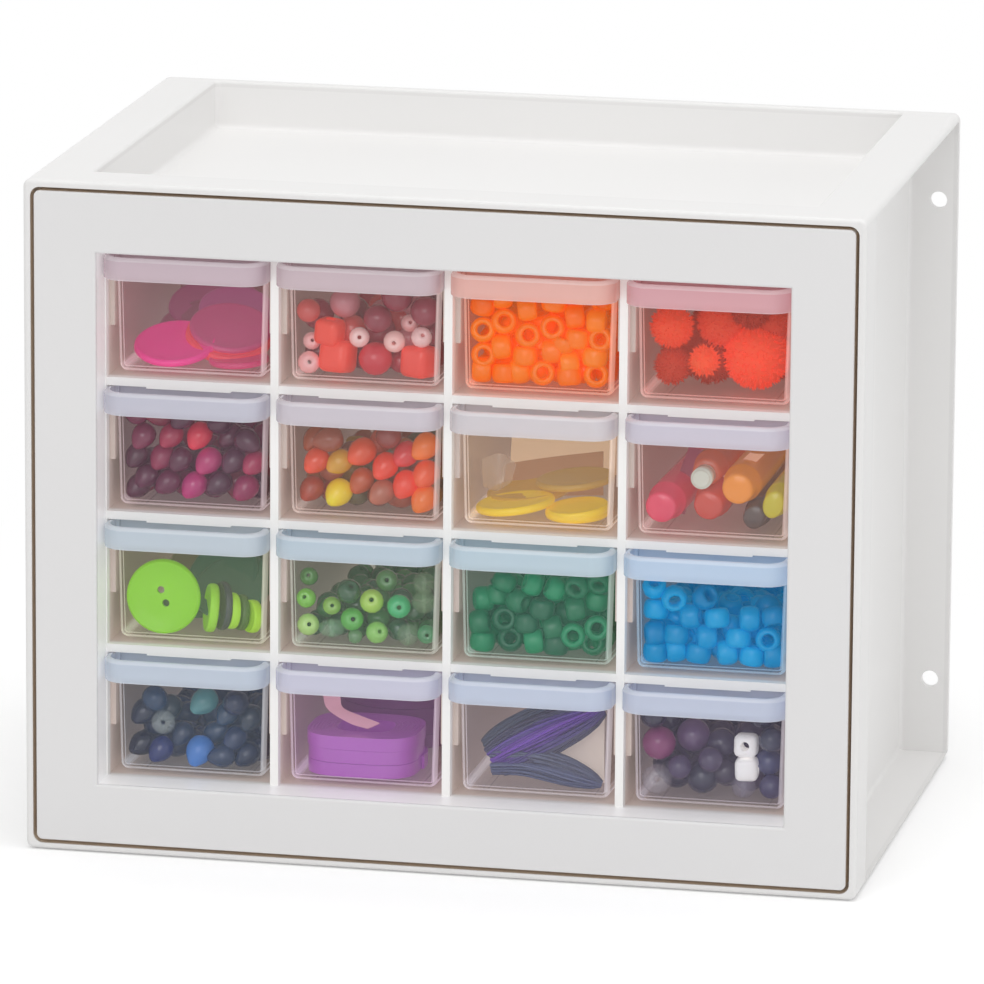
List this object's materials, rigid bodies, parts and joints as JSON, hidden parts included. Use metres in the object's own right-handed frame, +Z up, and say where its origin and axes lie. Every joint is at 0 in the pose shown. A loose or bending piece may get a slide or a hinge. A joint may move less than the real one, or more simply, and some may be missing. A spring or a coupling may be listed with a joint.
{
  "type": "craft parts drawer cabinet",
  "caption": "Desk-top white plastic drawer cabinet with see-through pull-out drawers behind a flat bezel, a tray in the top and screw holes in its rear flanges.",
  "frame": {"origin": "centre of the rectangle that the cabinet stands on, at the level of that surface", "axes": "+X to the right seen from the front, +Y from the front (the bezel) to the back (the rear flanges), +Z up"},
  "size_m": [0.265, 0.178, 0.215],
  "materials": {
    "white_plastic": "moulded white plastic, low sheen",
    "clear_plastic": "milky see-through moulded plastic",
    "screw_steel": "zinc plated"
  },
  "bodies": {
    "cabinet": {"outer_case": "white_plastic", "front_bezel": "white_plastic", "drawer_housing": "white_plastic", "divider_left": "white_plastic", "divider_centre": "white_plastic", "divider_right": "white_plastic", "shelf_upper": "white_plastic", "shelf_middle": "white_plastic", "shelf_lower": "white_plastic", "rear_panel": "white_plastic", "rear_panel_screws": "screw_steel"},
    "drawer_r1c1": {"drawer_row1_col1": "clear_plastic"},
    "drawer_r1c2": {"drawer_row1_col2": "clear_plastic"},
    "drawer_r1c3": {"drawer_row1_col3": "clear_plastic"},
    "drawer_r1c4": {"drawer_row1_col4": "clear_plastic"},
    "drawer_r2c1": {"drawer_row2_col1": "clear_plastic"},
    "drawer_r2c2": {"drawer_row2_col2": "clear_plastic"},
    "drawer_r2c3": {"drawer_row2_col3": "clear_plastic"},
    "drawer_r2c4": {"drawer_row2_col4": "clear_plastic"},
    "drawer_r3c1": {"drawer_row3_col1": "clear_plastic"},
    "drawer_r3c2": {"drawer_row3_col2": "clear_plastic"},
    "drawer_r3c3": {"drawer_row3_col3": "clear_plastic"},
    "drawer_r3c4": {"drawer_row3_col4": "clear_plastic"},
    "drawer_r4c1": {"drawer_row4_col1": "clear_plastic"},
    "drawer_r4c2": {"drawer_row4_col2": "clear_plastic"},
    "drawer_r4c3": {"drawer_row4_col3": "clear_plastic"},
    "drawer_r4c4": {"drawer_row4_col4": "clear_plastic"}
  },
  "joints": [
    {"name": "drawer_row1_col1_slide", "type": "slide", "parent": "cabinet", "child": "drawer_r1c1", "axis": [0, -1, 0], "range_m": [0, 0.149]},
    {"name": "drawer_row1_col2_slide", "type": "slide", "parent": "cabinet", "child": "drawer_r1c2", "axis": [0, -1, 0], "range_m": [0, 0.149]},
    {"name": "drawer_row1_col3_slide", "type": "slide", "parent": "cabinet", "child": "drawer_r1c3", "axis": [0, -1, 0], "range_m": [0, 0.149]},
    {"name": "drawer_row1_col4_slide", "type": "slide", "parent": "cabinet", "child": "drawer_r1c4", "axis": [0, -1, 0], "range_m": [0, 0.149]},
    {"name": "drawer_row2_col1_slide", "type": "slide", "parent": "cabinet", "child": "drawer_r2c1", "axis": [0, -1, 0], "range_m": [0, 0.149]},
    {"name": "drawer_row2_col2_slide", "type": "slide", "parent": "cabinet", "child": "drawer_r2c2", "axis": [0, -1, 0], "range_m": [0, 0.149]},
    {"name": "drawer_row2_col3_slide", "type": "slide", "parent": "cabinet", "child": "drawer_r2c3", "axis": [0, -1, 0], "range_m": [0, 0.149]},
    {"name": "drawer_row2_col4_slide", "type": "slide", "parent": "cabinet", "child": "drawer_r2c4", "axis": [0, -1, 0], "range_m": [0, 0.149]},
    {"name": "drawer_row3_col1_slide", "type": "slide", "parent": "cabinet", "child": "drawer_r3c1", "axis": [0, -1, 0], "range_m": [0, 0.149]},
    {"name": "drawer_row3_col2_slide", "type": "slide", "parent": "cabinet", "child": "drawer_r3c2", "axis": [0, -1, 0], "range_m": [0, 0.149]},
    {"name": "drawer_row3_col3_slide", "type": "slide", "parent": "cabinet", "child": "drawer_r3c3", "axis": [0, -1, 0], "range_m": [0, 0.149]},
    {"name": "drawer_row3_col4_slide", "type": "slide", "parent": "cabinet", "child": "drawer_r3c4", "axis": [0, -1, 0], "range_m": [0, 0.149]},
    {"name": "drawer_row4_col1_slide", "type": "slide", "parent": "cabinet", "child": "drawer_r4c1", "axis": [0, -1, 0], "range_m": [0, 0.149]},
    {"name": "drawer_row4_col2_slide", "type": "slide", "parent": "cabinet", "child": "drawer_r4c2", "axis": [0, -1, 0], "range_m": [0, 0.149]},
    {"name": "drawer_row4_col3_slide", "type": "slide", "parent": "cabinet", "child": "drawer_r4c3", "axis": [0, -1, 0], "range_m": [0, 0.149]},
    {"name": "drawer_row4_col4_slide", "type": "slide", "parent": "cabinet", "child": "drawer_r4c4", "axis": [0, -1, 0], "range_m": [0, 0.149]}
  ]
}
